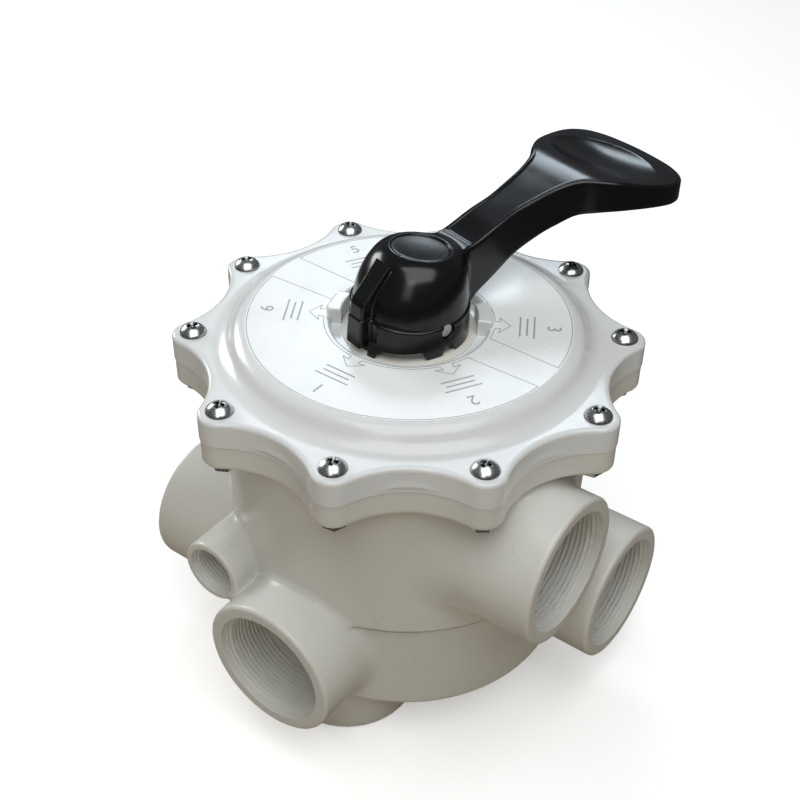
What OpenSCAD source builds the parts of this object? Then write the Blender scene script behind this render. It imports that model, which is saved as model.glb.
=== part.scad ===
// Six-position multiport valve for a pool filter, side mounted, 2 inch threaded ports.
// The origin is on the bottom port's axis, where its thread starts. +Z runs up along the stem.
// +X is the side with two ports, -Y is the front port. Millimetres.

/* [Housing] */
// Height of the screw seats on the cover above the start of the bottom port's thread
flange_top = 189; // [186:1:194]
// Distance of the stem axis behind the bottom port's axis
stem_offset = 50; // [48:1:52]
// Radius of the upper body just under its flange
upper_r = 90.5; // [90:0.5:92]
// Radius of the lower body at its shoulder
lower_r = 86; // [86:0.5:87]
// Wall thickness of the lower body
lower_wall = 6.5; // [6:0.5:7]
// Thickness of each of the two flanges
flange_t = 13; // [12:0.5:14]

/* [Flange lobes] */
// Number of lobes, each with one cover screw
lobes = 10; // [8:1:12]
// Radius of the circle through the cover screws
screw_circle_r = 102.2; // [101.5:0.1:103]
// Radius of a lobe's rounded tip
lobe_r = 10; // [9.5:0.5:10.5]
// Radius from the stem axis to the middle of a hollow between two lobes
valley_r = 97; // [96:0.5:98]

/* [Ports] */
// Distance from the stem axis to the mouth of each side port
port_reach = 112; // [110:1:115]
// Outside radius of a port socket
port_r = 36.5; // [36:0.5:38]
// Radius of the threaded bore, the crests of a 2 inch pipe thread
thread_r = 28.33; // [28.2:0.01:28.6]
// Length of the threaded bore
thread_len = 22; // [20:1:22]
// Radius of the plain recess at a port's mouth
mouth_r = 30; // [29.9:0.1:30.5]
// Depth of the plain recess at a port's mouth
mouth_len = 6; // [5:1:8]
// Height of the upper port's axis below the screw seats
upper_port_drop = 67; // [66:1:68]
// Height of the lower ports' axes below the screw seats
lower_port_drop = 134; // [133:1:135]
// Sideways offset of the upper right port
upper_port_shift = -28.5; // [-30:0.5:-27]
// Sideways offset of the lower right port, and of the left port the other way
lower_port_shift = 36.5; // [36:0.5:38]

/* [Sight port] */
// Outside radius of the small sight port
sight_r = 16.5; // [16:0.5:17]
// Radius of the sight port's threaded bore
sight_thread_r = 12.1; // [12:0.1:12.5]
// Length of the sight port's threaded bore
sight_thread_len = 16; // [14:1:18]
// Distance from the stem axis to the sight port's mouth
sight_reach = 100; // [99:1:102]
// Sideways offset of the sight port
sight_shift = -45; // [-46:1:-44]
// Height of the sight port's axis below the screw seats
sight_drop = 105; // [104:1:106]

/* [Cover] */
// Radius of the raised disc at its foot
dome_foot_r = 87.5; // [87:0.5:88]
// Radius of the raised disc at its top edge
dome_top_r = 80.7; // [80:0.1:82]
// Height of the raised disc above the screw seats
dome_h = 9; // [8.5:0.5:9.5]
// Radius of the pocket around the handle's hub
pocket_r = 37.5; // [37:0.5:38.5]

/* [Handle] */
// Direction of the lever, in degrees from +X
lever_az = 75; // [70:1:80]
// Height of the handle's pivot pin above the screw seats
pin_h = 17; // [16.5:0.5:17.5]
// Radius of the pivot pin
pin_r = 3; // [2.5:0.5:3.5]
// Outside radius of the hub's skirt
skirt_r = 31; // [30.5:0.1:31.2]
// Radius of the valve's stem
stem_r = 10; // [9.5:0.5:10.5]

/* [Hidden] */
$fn = 96;

// Running clearance between a turning or sliding part and its hole
run = 0.05;
// Overlap that lets one solid cut or join another cleanly
eps = 0.5;

// Heights below are measured from the screw seats, so they are negative inside the housing
shoulder_z = -109;
floor_z = -167;
floor_t = 6;
mouth_z = -flange_top - mouth_len;
divider_top_z = -101;
gasket_t = 3;
rotor_seat_z = divider_top_z + gasket_t + run;
rotor_plate_t = 6;
rotor_hub_top_z = -60;
stem_socket = 22;
stem_top_z = 27;

// Radii of the housing
upper_in_r = 84;
upper_foot_r = 88.5;
lower_foot_r = 84;
lower_in_r = lower_r - lower_wall;
spigot_h = 9;
spigot_r = 83.5;
valley_arc_d = 141;
valley_arc_r = valley_arc_d - valley_r;
lobe_blend_r = 108.5;

// Ports: [turn about the stem, sideways offset seen from outside, axis height]
FRONT = [-90, 0, -lower_port_drop];
RIGHT_LOW = [0, lower_port_shift, -lower_port_drop];
RIGHT_HIGH = [0, upper_port_shift, -upper_port_drop];
LEFT = [180, lower_port_shift, -lower_port_drop];
LOWER_PORTS = [FRONT, RIGHT_LOW, LEFT];
SIGHT = [-90, sight_shift, -sight_drop];
// Distance from the stem axis at which the side ports' tubes end
tube_end = 40;
tube_len = port_reach - tube_end;
sight_tube_len = sight_reach - tube_end;
port_rim = 2;
waterway_r = 26;
sight_waterway_r = 9;

// Fasteners, M6
screw_r = 3;
screw_hole_r = 3.3;
screw_len = 36;
head_r = 6.5;
head_h = 4;
head_dome_r = (head_r ^ 2 + head_h ^ 2) / (2 * head_h);
recess_d = 2.4;
recess_w = 1.3;
recess_l = 6.4;
nut_corner_r = 5.77;
nut_t = 5;
washer_r = 6.2;
washer_t = 1.6;

// Cover: boss around the stem, crown inside the handle's skirt, hollow underside, stop blocks
boss_z = -22;
boss_r = 18;
crown_z = 10;
crown_r = 23.3;
pocket_z = 4;
plate_under_z = -2;
spigot_depth = 5;
hollow_in_r = 44;
hollow_out_r = 78;
hollow_top_z = 3;
hollow_round = 4;
block_in_r = 32.2;
block_top_z = 12.5;
BLOCKS = [[26, 52], [186, 212]];

// Printed ring on the cover
label_in_r = 39;
label_out_r = 77;
label_t = 0.3;

// Chambers under the rotor
divider_wall_t = 5;
divider_plate_t = 5;
divider_post_r = 14;
sleeve_r = 28;
sleeve_bore_r = 22;
window_margin = 6;
window_in_r = 22;
window_out_r = 72;
link_r = [40, 70];
link_lintel = 20;
blocked_chamber = 4;

// Rotor
rotor_r = 76;
rotor_hub_r = 20;
bridge_h = 18;
bridge_wall = 3;
BRIDGE = [150, 270];
bridge_margin = 5;
rib_t = 4;
rib_h = 12;

// Stem seals
oring_r = 1.3;
oring_ring_r = stem_r - oring_r;
oring_low_z = -14;
oring_high_z = -5;

// Seal between the two flanges
seal_ring_r = 89;
seal_wire_r = 1.5;
seal_groove_w = 3.6;
seal_groove_d = 3.1;

// Spring around the stem
spring_turns = 5;
spring_wire_r = 1.5;
spring_coil_r = 14.5;
spring_washer_t = 1;
spring_washer_r = 17.5;
spring_steps = 20;
spring_sides = 8;

// Handle
skirt_z = 5;
skirt_in_r = 26.2;
hub_ceiling_z = 11;
hub_neck_r = 28.6;
skirt_top_z = 21;
hub_top_z = 49;
notch_h = 4.8;
// The skirt is missing on the lever's side, through this angle either way
skirt_gap = 80;
// Notches between the index teeth, in degrees from the lever, either way
NOTCHES = [[80, 97], [115, 153]];
pointer_w = 9;
cap_tilt = 9;
cap_e = 4.1;
cap_z = 46.6;
cap_r = 14;
cap_t = 2;
cap_gap = 0.5;
slot_half_w = 10.6;
slot_half_l = 17.5;
slot_top_z = 34;
pin_half_l = 26.5;
slip_in_r = 26.5;
slip_out_r = 31.8;

// Moves a part from the stem's frame to the valve's own frame
module at_stem() {
    translate([0, stem_offset, flange_top]) children();
}

// Repeats its children once per lobe
module per_lobe() {
    for (i = [0 : lobes - 1]) rotate(i * 360 / lobes) children();
}

// Moves its children so that they run inwards along +Z from a side port's mouth
module at_port(p, reach = port_reach) {
    rotate(p[0]) translate([reach, p[1], p[2]]) rotate([0, -90, 0]) children();
}

// Outline shared by the two flanges
module lobed_outline() {
    difference() {
        circle(lobe_blend_r);
        per_lobe() rotate(180 / lobes) translate([valley_arc_d, 0]) circle(valley_arc_r);
    }
    per_lobe() translate([screw_circle_r, 0]) circle(lobe_r);
}

// Clearance holes for the cover screws
module screw_holes(z0, z1) {
    per_lobe() translate([screw_circle_r, 0, z0]) cylinder(r = screw_hole_r, h = z1 - z0);
}

// Sector of a ring, as a flat outline, from angle a0 through a1 degrees, under half a turn
module sector(r0, r1, a0, a1) {
    far = 2 * r1;
    corners = [for (a = [a0, (a0 + a1) / 2, a1]) far * [cos(a), sin(a)]];
    difference() {
        intersection() {
            circle(r1);
            polygon(concat([[0, 0]], corners));
        }
        circle(r0);
    }
}

// Flat ring with its underside at height z
module flat_ring(r0, r1, z, t) {
    translate([0, 0, z]) linear_extrude(t) difference() {
        circle(r1);
        circle(r0);
    }
}

// Bore of a port: plain recess, threaded length and waterway, cut inwards along +Z
module port_bore(depth) {
    translate([0, 0, -eps]) cylinder(r = mouth_r, h = mouth_len + eps);
    translate([0, 0, mouth_len - eps]) cylinder(r = thread_r, h = thread_len + eps);
    translate([0, 0, mouth_len + thread_len - eps]) cylinder(r = waterway_r, h = depth);
}

// Outside of a port socket with a chamfered rim, running inwards along +Z
module port_tube(length) {
    rotate_extrude() polygon([
        [0, 0], [port_r - port_rim, 0], [port_r, port_rim], [port_r, length], [0, length]
    ]);
}

module upper_body() color("ivory") at_stem() {
    flange_z = -2 * flange_t;
    difference() {
        union() {
            translate([0, 0, flange_z]) linear_extrude(flange_t) lobed_outline();
            rotate_extrude() polygon([
                [0, shoulder_z], [upper_foot_r, shoulder_z], [upper_r, flange_z + eps], [0, flange_z + eps]
            ]);
            at_port(RIGHT_HIGH) port_tube(tube_len);
        }
        translate([0, 0, shoulder_z + spigot_h]) cylinder(r = upper_in_r, h = -shoulder_z);
        translate([0, 0, shoulder_z - eps]) cylinder(r = spigot_r + run, h = spigot_h + 2 * eps);
        at_port(RIGHT_HIGH) port_bore(tube_len);
        screw_holes(flange_z - eps, eps);
        flat_ring(seal_ring_r - seal_groove_w / 2, seal_ring_r + seal_groove_w / 2,
            -flange_t - seal_groove_d, 2 * seal_groove_d);
        for (p = LOWER_PORTS) at_port(p) cylinder(r = port_r + run, h = tube_len);
        at_port(SIGHT, sight_reach) cylinder(r = sight_r + run, h = sight_tube_len);
    }
}

module lower_body() color("ivory") at_stem() {
    difference() {
        union() {
            rotate_extrude() polygon([
                [0, floor_z], [lower_foot_r, floor_z], [lower_r, shoulder_z], [spigot_r, shoulder_z],
                [spigot_r, shoulder_z + spigot_h - run], [0, shoulder_z + spigot_h - run]
            ]);
            for (p = LOWER_PORTS) at_port(p) port_tube(tube_len);
            translate([0, -stem_offset, mouth_z]) port_tube(floor_z - mouth_z + floor_t);
            at_port(SIGHT, sight_reach) cylinder(r = sight_r, h = sight_tube_len);
        }
        translate([0, 0, floor_z + floor_t]) cylinder(r = lower_in_r, h = -floor_z);
        for (p = LOWER_PORTS) at_port(p) port_bore(tube_len);
        translate([0, -stem_offset, mouth_z]) port_bore(floor_z - mouth_z + floor_t);
        at_port(SIGHT, sight_reach) {
            translate([0, 0, -eps]) cylinder(r = sight_thread_r, h = sight_thread_len + eps);
            cylinder(r = sight_waterway_r, h = sight_tube_len);
        }
    }
}

// Six chambers under the rotor, one moulding that is welded into the lower body
module port_divider() color("whitesmoke") at_stem() {
    bottom_z = floor_z + floor_t + run;
    plate_z = divider_top_z - divider_plate_t;
    height = divider_top_z - bottom_z;
    out_r = lower_in_r - run;
    difference() {
        union() {
            translate([0, 0, bottom_z]) cylinder(r = divider_post_r, h = height);
            intersection() {
                translate([0, 0, bottom_z]) cylinder(r = out_r, h = height);
                for (i = [0 : 2]) rotate(i * 60) translate([0, 0, bottom_z]) {
                    linear_extrude(height) square([3 * out_r, divider_wall_t], center = true);
                }
            }
            translate([0, 0, plate_z]) cylinder(r = out_r, h = divider_plate_t);
            translate([0, -stem_offset, bottom_z]) cylinder(r = sleeve_r, h = height);
        }
        // One window into each chamber, except where the sleeve of the bottom port stands
        for (i = [0 : 5]) rotate(i * 60) translate([0, 0, plate_z - eps]) {
            if (i != blocked_chamber) linear_extrude(divider_plate_t + 2 * eps) {
                sector(window_in_r, window_out_r, window_margin, 60 - window_margin);
            }
        }
        translate([0, -stem_offset, bottom_z - eps]) cylinder(r = sleeve_bore_r, h = height + 2 * eps);
        // The front port shares the chamber to its right, so the wall between them is open low down
        rotate(-60) translate([link_r[0], -divider_wall_t, bottom_z - eps]) {
            cube([link_r[1] - link_r[0], 2 * divider_wall_t, height - link_lintel]);
        }
    }
}

module spider_gasket() color("dimgray") at_stem() {
    bead = 2;
    translate([0, 0, divider_top_z]) linear_extrude(gasket_t) {
        difference() {
            circle(rotor_r);
            circle(window_out_r);
        }
        circle(window_in_r - bead);
        intersection() {
            circle(rotor_r - bead / 2);
            for (i = [0 : 2]) rotate(i * 60) square([2 * rotor_r, divider_wall_t], center = true);
        }
    }
}

module cover() color("white") at_stem() {
    spigot_z = -flange_t - spigot_depth;
    hollow_z = spigot_z - 1;
    difference() {
        union() {
            translate([0, 0, -flange_t]) linear_extrude(flange_t) lobed_outline();
            rotate_extrude() polygon([
                [0, boss_z], [boss_r - 1, boss_z], [boss_r, boss_z + 1], [boss_r, plate_under_z],
                [hollow_out_r, plate_under_z], [upper_in_r - run, spigot_z],
                [upper_in_r - run, -flange_t + 1],
                [dome_foot_r, 0], [dome_top_r, dome_h], [pocket_r, dome_h],
                [pocket_r, pocket_z], [crown_r, pocket_z], [crown_r, crown_z], [0, crown_z]
            ]);
            // Two stop blocks in the pocket, on either side of the handle
            translate([0, 0, pocket_z - eps]) linear_extrude(block_top_z - pocket_z + eps) {
                for (b = BLOCKS) sector(block_in_r, pocket_r + eps, b[0], b[1]);
            }
        }
        translate([0, 0, boss_z - eps]) cylinder(r = stem_r + run, h = crown_z - boss_z + 2 * eps);
        rotate_extrude() polygon([
            [hollow_in_r, hollow_z], [hollow_out_r, hollow_z], [hollow_out_r, hollow_top_z - hollow_round],
            [hollow_out_r - hollow_round, hollow_top_z], [hollow_in_r + hollow_round, hollow_top_z],
            [hollow_in_r, hollow_top_z - hollow_round]
        ]);
        screw_holes(-flange_t - eps, eps);
    }
}

module cover_seal() color("black") at_stem() {
    translate([0, 0, -flange_t - seal_wire_r - run]) rotate_extrude() {
        translate([seal_ring_r, 0]) circle(seal_wire_r, $fn = 32);
    }
}

// Thin printed ring on top of the cover
module position_label() color("gainsboro") at_stem() {
    flat_ring(label_in_r, label_out_r, dome_h, label_t);
}

module cover_screws() color("silver") at_stem() {
    per_lobe() translate([screw_circle_r, 0, 0]) difference() {
        union() {
            translate([0, 0, -screw_len]) cylinder(r = screw_r, h = screw_len + eps);
            rotate_extrude() intersection() {
                translate([0, head_h - head_dome_r]) circle(head_dome_r);
                square([head_r, head_h]);
            }
        }
        translate([0, 0, head_h - recess_d / 2 + eps]) {
            cube([recess_l, recess_w, recess_d + eps], center = true);
            cube([recess_w, recess_l, recess_d + eps], center = true);
        }
    }
}

module screw_washers() color("silver") at_stem() {
    per_lobe() translate([screw_circle_r, 0, 0]) {
        flat_ring(screw_hole_r, washer_r, -2 * flange_t - washer_t, washer_t);
    }
}

module cover_nuts() color("silver") at_stem() {
    per_lobe() translate([screw_circle_r, 0, -2 * flange_t - washer_t - nut_t]) difference() {
        cylinder(r = nut_corner_r, h = nut_t, $fn = 6);
        translate([0, 0, -eps]) cylinder(r = screw_r + run, h = nut_t + 2 * eps);
    }
}

// Turning plate that opens one chamber to the pump side and bridges others
module rotor() color("lightgray") at_stem() {
    bridge_z = rotor_seat_z + rotor_plate_t;
    difference() {
        union() {
            translate([0, 0, rotor_seat_z]) cylinder(r = rotor_r, h = rotor_plate_t);
            translate([0, 0, rotor_seat_z]) cylinder(r = rotor_hub_r, h = rotor_hub_top_z - rotor_seat_z);
            translate([0, 0, bridge_z - eps]) linear_extrude(bridge_h + eps) {
                sector(0, window_out_r + bridge_wall, BRIDGE[0], BRIDGE[1]);
            }
            for (a = [-60, 0, 60, 120]) rotate(a) {
                translate([0, -rib_t / 2, bridge_z - eps]) cube([window_out_r, rib_t, rib_h]);
            }
        }
        // Open window
        translate([0, 0, rotor_seat_z - eps]) linear_extrude(rotor_plate_t + 2 * eps) {
            sector(window_in_r, window_out_r, window_margin, 60 - window_margin);
        }
        // Pocket that joins two chambers under the bridge
        translate([0, 0, rotor_seat_z - eps]) linear_extrude(rotor_plate_t + bridge_h - bridge_wall) {
            sector(window_in_r, window_out_r, BRIDGE[0] + bridge_margin, BRIDGE[1] - bridge_margin);
        }
        translate([0, 0, rotor_hub_top_z - stem_socket]) cylinder(r = stem_r + run, h = stem_socket + eps);
    }
}

module stem() color("lightgray") at_stem() {
    foot_z = rotor_hub_top_z - stem_socket;
    difference() {
        translate([0, 0, foot_z]) cylinder(r = stem_r, h = stem_top_z - foot_z);
        for (z = [oring_low_z, oring_high_z]) {
            flat_ring(stem_r - 2 * oring_r, stem_r + oring_r, z - oring_r - run, 2 * (oring_r + run));
        }
        rotate(lever_az) translate([0, 0, pin_h]) rotate([90, 0, 0]) {
            cylinder(r = pin_r + run, h = 4 * stem_r, center = true);
        }
    }
}

module stem_oring(z) at_stem() {
    translate([0, 0, z]) rotate_extrude() translate([oring_ring_r, 0]) circle(oring_r, $fn = 32);
}

module stem_oring_upper() color("black") stem_oring(oring_high_z);

module stem_oring_lower() color("black") stem_oring(oring_low_z);

module lower_spring_washer() color("white") at_stem() {
    flat_ring(stem_r + run, spring_washer_r, rotor_hub_top_z + run, spring_washer_t);
}

module upper_spring_washer() color("white") at_stem() {
    flat_ring(stem_r + run, spring_washer_r, boss_z - spring_washer_t, spring_washer_t);
}

// Coil spring that presses the rotor onto its gasket
module rotor_spring() color("silver") at_stem() {
    z0 = rotor_hub_top_z + run + spring_washer_t + spring_wire_r + run;
    z1 = boss_z - spring_washer_t - spring_wire_r - run;
    n = spring_turns * spring_steps;
    k = spring_sides;
    rings = [for (i = [0 : n]) let (a = 360 * i / spring_steps, z = z0 + (z1 - z0) * i / n) [
        for (j = [0 : k - 1]) let (b = 360 * j / k, r = spring_coil_r + spring_wire_r * cos(b))
        [r * cos(a), r * sin(a), z + spring_wire_r * sin(b)]
    ]];
    points = [for (ring = rings) for (p = ring) p];
    walls = [for (i = [0 : n - 1]) for (j = [0 : k - 1])
        [i * k + j, i * k + (j + 1) % k, (i + 1) * k + (j + 1) % k, (i + 1) * k + j]];
    first = [for (j = [k - 1 : -1 : 0]) j];
    last = [for (j = [0 : k - 1]) n * k + j];
    polyhedron(points, concat([first], walls, [last]), convexity = 8);
}

// Nylon ring that the handle's skirt turns on
module slip_washer() color("whitesmoke") at_stem() {
    flat_ring(slip_in_r, slip_out_r, pocket_z + run, skirt_z - pocket_z - 3 * run);
}

// Half width of the lever at each distance from the stem, a waist that flares into a paddle
LEVER_HALF_WIDTH = [
    [0, 11], [40, 11], [55, 10.5], [66, 11.7], [78, 13.8], [88, 17.5], [96, 24], [103, 29], [110, 32.6],
    [118, 35.8], [127, 38], [134, 38.2], [140, 36], [145, 31], [148.5, 22], [150, 11], [150.5, 0]
];

// Side view of the lever: top line outwards, then the underside back
LEVER_SIDE = [
    [12, 43], [26, 43.2], [44, 48.8], [63, 54], [78, 57.8], [86, 59.6], [93, 60.2], [103, 59.2], [120, 55.4],
    [135, 52.8], [151, 51.5], [151, 38.5], [139, 40.5], [125, 42.2], [112, 43], [98, 42.6], [89, 40.9],
    [81, 37.8], [70, 34.2], [56, 28.2], [41, 20.2], [32, 15], [26, hub_ceiling_z + eps],
    [12, hub_ceiling_z + eps]
];

// Outline of the hub from the axis outwards and down, then up its domed side
HUB_PROFILE = [
    [0, hub_ceiling_z], [skirt_in_r, hub_ceiling_z], [skirt_in_r, skirt_z], [skirt_r, skirt_z],
    [skirt_r, skirt_top_z], [skirt_r - 1, skirt_top_z + 1], [27.6, 22.6], [25.6, 30], [24.2, 35],
    [22.4, 40], [20.4, 44], [18.4, 47], [16, hub_top_z], [0, hub_top_z]
];

// Lever, from its side view and its plan
module lever() {
    n = len(LEVER_HALF_WIDTH);
    far_side = [for (i = [n - 2 : -1 : 0]) let (p = LEVER_HALF_WIDTH[i]) [p[0], -p[1]]];
    span = 2 * skirt_r + pocket_r;
    intersection() {
        rotate([90, 0, 0]) linear_extrude(span, center = true) polygon(LEVER_SIDE);
        linear_extrude(span) polygon(concat(LEVER_HALF_WIDTH, far_side));
    }
}

// Pointer rib on the side away from the lever
module pointer() {
    tip_z = [8, 27];
    root_r = skirt_in_r - 6;
    rotate([90, 0, 0]) linear_extrude(pointer_w, center = true) polygon([
        [-skirt_r, tip_z[0]], [-skirt_r, tip_z[1]], [-root_r, tip_z[1] + 17], [-root_r, hub_ceiling_z],
        [-skirt_in_r, hub_ceiling_z], [-skirt_in_r, tip_z[0]]
    ]);
}

module handle() color("#141414") at_stem() rotate(lever_az) {
    difference() {
        union() {
            rotate_extrude() polygon(HUB_PROFILE);
            lever();
            pointer();
        }
        // Sloped top of the hub, with the seat of its cap
        translate([cap_e, 0, cap_z]) rotate([0, cap_tilt, 0]) {
            translate([-2 * cap_r, -cap_r - cap_e, 0]) cube([3 * cap_r, 2 * (cap_r + cap_e), hub_top_z]);
            translate([0, 0, -cap_t]) cylinder(r = cap_r + run, h = hub_top_z);
        }
        linear_extrude(skirt_top_z + 2) sector(hub_neck_r, 2 * skirt_r, -skirt_gap, skirt_gap);
        for (side = [-1, 1]) for (n = NOTCHES) translate([0, 0, skirt_z - eps]) {
            linear_extrude(notch_h + eps) sector(skirt_in_r - 1, 2 * skirt_r, side * n[0], side * n[1]);
        }
        // Room for the stem's head, and the bore of the pin
        translate([-slot_half_l, -slot_half_w, 0]) cube([2 * slot_half_l, 2 * slot_half_w, slot_top_z]);
        translate([0, 0, pin_h]) rotate([90, 0, 0]) cylinder(r = pin_r, h = 3 * skirt_r, center = true);
    }
}

module handle_pin() color("silver") at_stem() {
    rotate(lever_az) translate([0, 0, pin_h]) rotate([90, 0, 0]) {
        cylinder(r = pin_r, h = 2 * pin_half_l, center = true);
    }
}

module handle_cap() color("#1c1c1c") at_stem() {
    rotate(lever_az) translate([cap_e, 0, cap_z]) rotate([0, cap_tilt, 0]) {
        translate([0, 0, -cap_t]) cylinder(r = cap_r, h = cap_t - cap_gap);
    }
}

upper_body();
lower_body();
port_divider();
spider_gasket();
cover();
cover_seal();
position_label();
cover_screws();
screw_washers();
cover_nuts();
rotor();
stem();
stem_oring_upper();
stem_oring_lower();
lower_spring_washer();
rotor_spring();
upper_spring_washer();
slip_washer();
handle();
handle_pin();
handle_cap();
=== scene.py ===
"""Looks of the multiport valve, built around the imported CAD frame.

Shapes are written in millimetres in the stem's frame: the origin is on the stem axis, at the height
of the cover's screw seats, with +Z up. to_row() turns them into metres in the row frame.
"""

import math

import bmesh
import bpy
import numpy as np
from mathutils import Matrix, Vector


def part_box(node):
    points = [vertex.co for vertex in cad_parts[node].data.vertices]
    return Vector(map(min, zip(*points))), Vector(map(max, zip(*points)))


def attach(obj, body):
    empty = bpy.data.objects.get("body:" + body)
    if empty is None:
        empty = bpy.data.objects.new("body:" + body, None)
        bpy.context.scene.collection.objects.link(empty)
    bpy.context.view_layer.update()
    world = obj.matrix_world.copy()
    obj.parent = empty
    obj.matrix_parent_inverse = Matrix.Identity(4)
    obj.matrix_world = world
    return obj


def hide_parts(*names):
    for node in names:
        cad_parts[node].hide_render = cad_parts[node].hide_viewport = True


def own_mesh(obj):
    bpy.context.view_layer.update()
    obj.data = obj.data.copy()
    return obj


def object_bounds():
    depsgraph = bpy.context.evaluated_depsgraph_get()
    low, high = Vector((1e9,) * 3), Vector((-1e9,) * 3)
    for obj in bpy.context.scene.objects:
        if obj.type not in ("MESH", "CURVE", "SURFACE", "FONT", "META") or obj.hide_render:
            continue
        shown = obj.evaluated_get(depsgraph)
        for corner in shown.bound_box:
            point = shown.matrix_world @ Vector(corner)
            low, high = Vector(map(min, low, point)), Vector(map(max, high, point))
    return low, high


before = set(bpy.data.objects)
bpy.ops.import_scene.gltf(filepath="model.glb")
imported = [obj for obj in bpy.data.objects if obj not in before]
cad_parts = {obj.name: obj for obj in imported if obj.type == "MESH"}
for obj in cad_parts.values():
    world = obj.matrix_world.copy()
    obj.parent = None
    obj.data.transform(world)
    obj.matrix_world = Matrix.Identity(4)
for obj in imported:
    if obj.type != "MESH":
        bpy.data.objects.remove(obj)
cad_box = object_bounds()

MM = 0.001
DOME_H = 9.0  # the label lies on the cover's raised disc, this far above the screw seats
stem_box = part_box("stem")
STEM_FRAME = np.array([
    (stem_box[0].x + stem_box[1].x) / 2,
    (stem_box[0].y + stem_box[1].y) / 2,
    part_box("position_label")[0].z - DOME_H * MM,
])

# ---------------------------------------------------------------- valve dimensions, mm
# Flange outline: lobes on the screw circle, hollows as arcs about points further out
LOBES = 10
LOBE_PITCH = 2 * math.pi / LOBES
SCREW_CIRCLE_R = 102.2
LOBE_R = 10.0
VALLEY_ARC_D = 141.0
VALLEY_ARC_R = 44.0
LOBE_BLEND_R = 108.5
FLANGE_T = 13.0
# The body's flange stands this far back from the cover's
PARTING = 0.4
# Fasteners
SCREW_HOLE_R = 3.3
SHANK_R = 3.0
HEAD_R = 6.5
HEAD_H = 4.2
HEAD_DOME_R = 7.6
NUT_TOP_Z = -27.6
NUT_T = 3.2
NUT_HALF_WIDTH = 5.0
# Body drums, from the flange down to the floor
UPPER_TOP_R = 90.5
UPPER_FOOT_R = 88.5
UPPER_INSIDE_R = 84.0
SHOULDER_Z = -109.0
SEAM_Z = -112.0
LOWER_TOP_R = 86.0
LOWER_FOOT_R = 84.0
LOWER_INSIDE_R = 79.5
FLOOR_Z = -167.0
FLOOR_T = 6.0
# 2 inch ports; the bottom port stands in front of the stem
PORT_R = 36.5
REACH = 112.0
MOUTH_Z = -195.0
STEM_OFFSET = 50.0
MOUTH_R = 30.0
MOUTH_LEN = 2.6
THREAD_CREST_R = 28.33
THREAD_ROOT_R = 29.81
THREAD_PITCH = 2.309
THREAD_LEN = 25.4
SLEEVE_R = 31.2
WATERWAY_R = 26.0
# Sight port
SIGHT_R = 16.5
SIGHT_REACH = 100.0
SIGHT_CREST_R = 12.1
SIGHT_ROOT_R = 13.1
SIGHT_PITCH = 1.814
SIGHT_MOUTH_LEN = 2.0
SIGHT_THREAD_LEN = 13.5
SIGHT_SLEEVE_R = 14.0
SIGHT_WATERWAY_R = 9.0
# Stepped bores: wide radius, its depth, narrow radius
PORT_BORE = (MOUTH_R, MOUTH_LEN + THREAD_LEN, WATERWAY_R)
SIGHT_BORE = (SIGHT_ROOT_R + 0.1, 16.0, SIGHT_WATERWAY_R)
# Side ports: turn about the stem in degrees, sideways offset, height of the axis
FRONT = (-90.0, 0.0, -134.0)
RIGHT_LOW = (0.0, 36.5, -134.0)
RIGHT_HIGH = (0.0, -28.5, -67.0)
LEFT = (180.0, 36.5, -134.0)
SIGHT = (-90.0, -45.0, -105.0)
LOWER_PORTS = (FRONT, RIGHT_LOW, LEFT)
# Cover
DOME_FOOT_R = 87.5
DOME_RUN = 6.8
POCKET_R = 37.5
POCKET_FLOOR_Z = 4.0
CROWN_R = 23.3
CROWN_Z = 10.0
STOP_BLOCKS = (39.0, 199.0)
STOP_HALF_ANGLE = 13.0
STOP_Z = 12.5
STEM_HOLE_R = 10.05
# Label: a film with printed lines, numbers and bars, and one ring on the cover inside the film
FILM_IN_R = 39.0
FILM_OUT_R = 77.0
FILM_Z = DOME_H + 0.3
INK_Z = (DOME_H + 0.25, DOME_H + 0.36)
LINE_WIDTH = 0.42
COVER_RING_R = 38.2
INNER_LINE_R = 40.2
OUTER_LINE_R = 76.2
ARROW_HALF = 4.5
FIGURE_R = 67.5
FIGURE_SIZE = 9.5
BARS = ((58.5, 9.0), (55.2, 7.0), (51.9, 8.0))
# Handle, stem and spring
LEVER_AZ = 75.0
SKIRT_Z = 5.0
SKIRT_INSIDE_R = 26.2
PIN_Z = 17.0
PIN_R = 3.0
SPRING_R = 14.5
SPRING_WIRE_R = 1.5
SPRING_TURNS = 5


def to_row(points):
    """Points in mm in the stem's frame, as metres in the row frame."""
    return np.asarray(points, float) * MM + STEM_FRAME


# ---------------------------------------------------------------- distance fields
def rounded_and(a, b, r):
    """Intersection of two solids given by signed distances, with an edge of radius r."""
    return np.minimum(-r, np.maximum(a, b)) + np.hypot(np.maximum(a + r, 0), np.maximum(b + r, 0))


def rounded_or(a, b, r):
    """Union of two solids, with a fillet of radius r."""
    return -rounded_and(-a, -b, r)


def slab(t, t0, t1):
    """Distance to the layer t0 to t1 of a coordinate."""
    return np.maximum(t0 - t, t - t1)


def turned(x, y, degrees):
    """Coordinates along and across a direction in the XY plane."""
    c, s = math.cos(math.radians(degrees)), math.sin(math.radians(degrees))
    return x * c + y * s, y * c - x * s


def port_coordinates(port, x, y, z, reach=REACH):
    """Depth below a side port's mouth and distance from its axis."""
    turn, shift, height = port
    along, across = turned(x, y, turn)
    return reach - along, np.hypot(across - shift, z - height)


def bottom_coordinates(x, y, z):
    """Depth above the bottom port's mouth and distance from its axis."""
    return z - MOUTH_Z, np.hypot(x, y + STEM_OFFSET)


def smooth_step(t, t0, t1):
    """0 below t0 and 1 above t1, with no corner."""
    u = np.clip((t - t0) / (t1 - t0), 0, 1)
    return u * u * (3 - 2 * u)


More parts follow.
